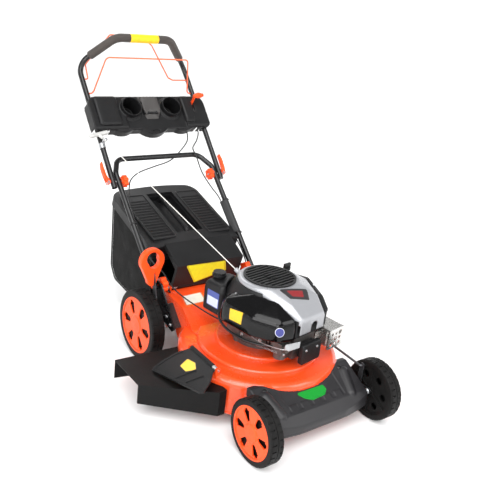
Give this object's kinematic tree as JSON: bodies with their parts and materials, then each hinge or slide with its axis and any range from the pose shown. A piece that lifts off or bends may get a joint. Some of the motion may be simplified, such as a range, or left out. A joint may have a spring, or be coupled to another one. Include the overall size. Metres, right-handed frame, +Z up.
{
  "type": "walk-behind rotary lawn mower",
  "caption": "Walk-behind petrol rotary lawn mower with round deck, rear grass bag, side discharge chute, folding handle, control bails and a height lever that lifts all wheels.",
  "frame": {"origin": "on the ground under the centre of the machine's outline, chute and handle included", "axes": "-Y is the front of the mower, -X the operator's right side, +Z up"},
  "size_m": [0.7415, 1.4405, 1.0696],
  "materials": {
    "orange_paint": "gloss orange-red powder coat",
    "black_plastic": "moulded black plastic",
    "gloss_black": "polished black plastic",
    "black_paint": "satin black coat",
    "steel": "zinc plated",
    "dark_steel": "dark coated steel",
    "cast_alloy": "as cast",
    "silver_plastic": "metallic silver paint",
    "orange_plastic": "moulded orange plastic",
    "orange_wire": "orange coated wire",
    "grey_plastic": "moulded grey plastic",
    "black_rubber": "belt rubber",
    "grip_foam": "soft grip",
    "tyre": "treaded tyre on a black plastic rim",
    "bag_fabric": "woven bag cloth",
    "white_rope": "braided starter rope"
  },
  "bodies": {
    "chassis": {"deck": "orange_paint", "front_bumper": "black_plastic", "handle_brackets": "black_paint", "hinge_pins": "steel", "flap_springs": "steel", "discharge_chute": "black_plastic", "bag_cloth": "bag_fabric", "bag_lid": "black_plastic", "bag_frame": "black_paint", "engine_block": "cast_alloy", "blower_housing": "black_plastic", "engine_shroud": "silver_plastic", "fan_grille": "black_plastic", "air_filter_cover": "gloss_black", "fuel_tank": "black_plastic", "carburettor": "cast_alloy", "muffler": "steel", "muffler_guard": "steel", "front_guard": "black_plastic", "drive_belt": "black_rubber", "starter_rope": "white_rope", "control_cables": "black_plastic"},
    "rear_flap": {"rear_flap": "black_plastic"},
    "side_flap": {"side_flap": "black_plastic"},
    "rear_lift": {"rear_axle": "dark_steel", "height_grip": "orange_plastic"},
    "front_lift": {"front_axle": "dark_steel"},
    "link": {"link_rod": "dark_steel"},
    "front_wheel_right": {"front_wheel_right": "tyre", "front_cap_right": "orange_plastic"},
    "front_wheel_left": {"front_wheel_left": "tyre", "front_cap_left": "orange_plastic"},
    "rear_wheel_right": {"rear_wheel_right": "tyre", "rear_cap_right": "orange_plastic"},
    "rear_wheel_left": {"rear_wheel_left": "tyre", "rear_cap_left": "orange_plastic"},
    "gearbox": {"gearbox": "cast_alloy"},
    "gearbox_pulley": {"gearbox_pulley": "steel"},
    "rotor": {"crankshaft": "steel", "blade_adapter": "dark_steel", "blade": "dark_steel", "flywheel": "cast_alloy"},
    "fuel_cap": {"fuel_cap": "black_plastic"},
    "dipstick": {"dipstick": "black_plastic"},
    "lower_handle": {"lower_handle": "black_paint", "clamp_bolts": "steel"},
    "lower_knob_right": {"lower_knob_right": "orange_plastic"},
    "lower_knob_left": {"lower_knob_left": "orange_plastic"},
    "upper_handle": {"upper_handle": "black_paint", "grip_foam": "grip_foam", "console": "black_plastic", "rope_guide": "steel"},
    "cam_lever_right": {"cam_lever_right": "orange_plastic"},
    "cam_lever_left": {"cam_lever_left": "orange_plastic"},
    "star_knob_right": {"star_knob_right": "orange_plastic"},
    "star_knob_left": {"star_knob_left": "orange_plastic"},
    "speed_lever": {"speed_lever": "orange_plastic"},
    "brake_bail": {"brake_bail": "orange_wire"},
    "drive_bail": {"drive_bail": "orange_wire"},
    "starter_grip": {"starter_grip": "grey_plastic"}
  },
  "joints": [
    {"name": "rear_flap_hinge", "type": "hinge", "parent": "chassis", "child": "rear_flap", "pos_m": [0.0805, 0.05609, 0.243], "axis": [1, 0, 0], "range_deg": [0, 55]},
    {"name": "side_flap_hinge", "type": "hinge", "parent": "chassis", "child": "side_flap", "pos_m": [-0.1595, -0.32091, 0.178], "axis": [0, 1, 0], "range_deg": [0, 70]},
    {"name": "height_lever", "type": "hinge", "parent": "chassis", "child": "rear_lift", "pos_m": [0.0805, 0.08409, 0.127], "axis": [1, 0, 0], "range_deg": [-5, 25], "deforming": ["drive_belt"]},
    {"name": "front_lift_hinge", "type": "hinge", "parent": "chassis", "child": "front_lift", "pos_m": [0.0805, -0.58091, 0.1015], "axis": [1, 0, 0], "range_deg": [-5, 25]},
    {"name": "link_hinge", "type": "hinge", "parent": "rear_lift", "child": "link", "pos_m": [0.0805, 0.08409, 0.202], "axis": [1, 0, 0], "range_deg": [-25, 5]},
    {"name": "gearbox_hinge", "type": "hinge", "parent": "rear_lift", "child": "gearbox", "pos_m": [0.0805, 0.04409, 0.127], "axis": [1, 0, 0], "range_deg": [-25, 5]},
    {"name": "gearbox_pulley_spin", "type": "hinge", "parent": "gearbox", "child": "gearbox_pulley", "pos_m": [0.2195, -0.00791, 0.15], "axis": [0, 0, 1], "continuous": true},
    {"name": "crank_spin", "type": "hinge", "parent": "chassis", "child": "rotor", "pos_m": [0.0805, -0.29291, 0.1], "axis": [0, 0, 1], "continuous": true},
    {"name": "front_wheel_right_spin", "type": "hinge", "parent": "front_lift", "child": "front_wheel_right", "pos_m": [-0.1645, -0.62091, 0.1015], "axis": [1, 0, 0], "continuous": true},
    {"name": "rear_wheel_right_spin", "type": "hinge", "parent": "rear_lift", "child": "rear_wheel_right", "pos_m": [-0.1835, 0.04409, 0.127], "axis": [1, 0, 0], "continuous": true},
    {"name": "front_wheel_left_spin", "type": "hinge", "parent": "front_lift", "child": "front_wheel_left", "pos_m": [0.3255, -0.62091, 0.1015], "axis": [1, 0, 0], "continuous": true},
    {"name": "rear_wheel_left_spin", "type": "hinge", "parent": "rear_lift", "child": "rear_wheel_left", "pos_m": [0.3445, 0.04409, 0.127], "axis": [1, 0, 0], "continuous": true},
    {"name": "fuel_cap_twist", "type": "hinge", "parent": "chassis", "child": "fuel_cap", "pos_m": [-0.01013, -0.15539, 0.38], "axis": [0, 0, 1], "range_deg": [0, 90]},
    {"name": "dipstick_twist", "type": "hinge", "parent": "chassis", "child": "dipstick", "pos_m": [0.21642, -0.23696, 0.4], "axis": [0, 0, 1], "range_deg": [0, 90]},
    {"name": "handle_tilt", "type": "hinge", "parent": "chassis", "child": "lower_handle", "pos_m": [0.0805, 0.04909, 0.266], "axis": [1, 0, 0], "range_deg": [-6, 8], "deforming": ["control_cables", "starter_rope"]},
    {"name": "lower_knob_right_twist", "type": "hinge", "parent": "chassis", "child": "lower_knob_right", "pos_m": [-0.1095, 0.04909, 0.266], "axis": [1, 0, 0], "range_deg": [-180, 180]},
    {"name": "lower_knob_left_twist", "type": "hinge", "parent": "chassis", "child": "lower_knob_left", "pos_m": [0.2705, 0.04909, 0.266], "axis": [1, 0, 0], "range_deg": [-180, 180]},
    {"name": "handle_fold", "type": "hinge", "parent": "lower_handle", "child": "upper_handle", "pos_m": [0.0805, 0.36533, 0.55884], "axis": [1, 0, 0], "range_deg": [0, 120], "deforming": ["control_cables", "starter_rope"]},
    {"name": "cam_lever_right_swing", "type": "hinge", "parent": "lower_handle", "child": "cam_lever_right", "pos_m": [-0.1795, 0.36533, 0.55884], "axis": [0, -0.7373, 0.6756], "range_deg": [0, 95]},
    {"name": "star_knob_right_twist", "type": "hinge", "parent": "lower_handle", "child": "star_knob_right", "pos_m": [-0.1155, 0.36533, 0.55884], "axis": [1, 0, 0], "range_deg": [-180, 180]},
    {"name": "cam_lever_left_swing", "type": "hinge", "parent": "lower_handle", "child": "cam_lever_left", "pos_m": [0.3405, 0.36533, 0.55884], "axis": [0, 0.7373, -0.6756], "range_deg": [0, 95]},
    {"name": "star_knob_left_twist", "type": "hinge", "parent": "lower_handle", "child": "star_knob_left", "pos_m": [0.2765, 0.36533, 0.55884], "axis": [1, 0, 0], "range_deg": [-180, 180]},
    {"name": "speed_lever_swing", "type": "hinge", "parent": "upper_handle", "child": "speed_lever", "pos_m": [0.2855, 0.57679, 0.78961], "axis": [1, 0, 0], "range_deg": [0, 30]},
    {"name": "brake_bail_swing", "type": "hinge", "parent": "upper_handle", "child": "brake_bail", "pos_m": [0.0805, 0.62205, 0.83901], "axis": [1, 0, 0], "range_deg": [-24, 0], "stiffness_Nm_per_rad": 4, "springref_deg": 5.73},
    {"name": "drive_bail_swing", "type": "hinge", "parent": "upper_handle", "child": "drive_bail", "pos_m": [0.0805, 0.66597, 0.88693], "axis": [1, 0, 0], "range_deg": [0, 6], "stiffness_Nm_per_rad": 4, "springref_deg": -5.73},
    {"name": "starter_pull", "type": "slide", "parent": "upper_handle", "child": "starter_grip", "axis": [-0.2, 0, 0.9798], "range_m": [0, 0.3], "deforming": ["starter_rope"]}
  ],
  "couplings": [
    {"joint": "front_lift_hinge", "follows": "height_lever", "ratio": 1},
    {"joint": "link_hinge", "follows": "height_lever", "ratio": -1},
    {"joint": "gearbox_hinge", "follows": "height_lever", "ratio": -1},
    {"joint": "gearbox_pulley_spin", "follows": "crank_spin", "ratio": 1.1739}
  ]
}
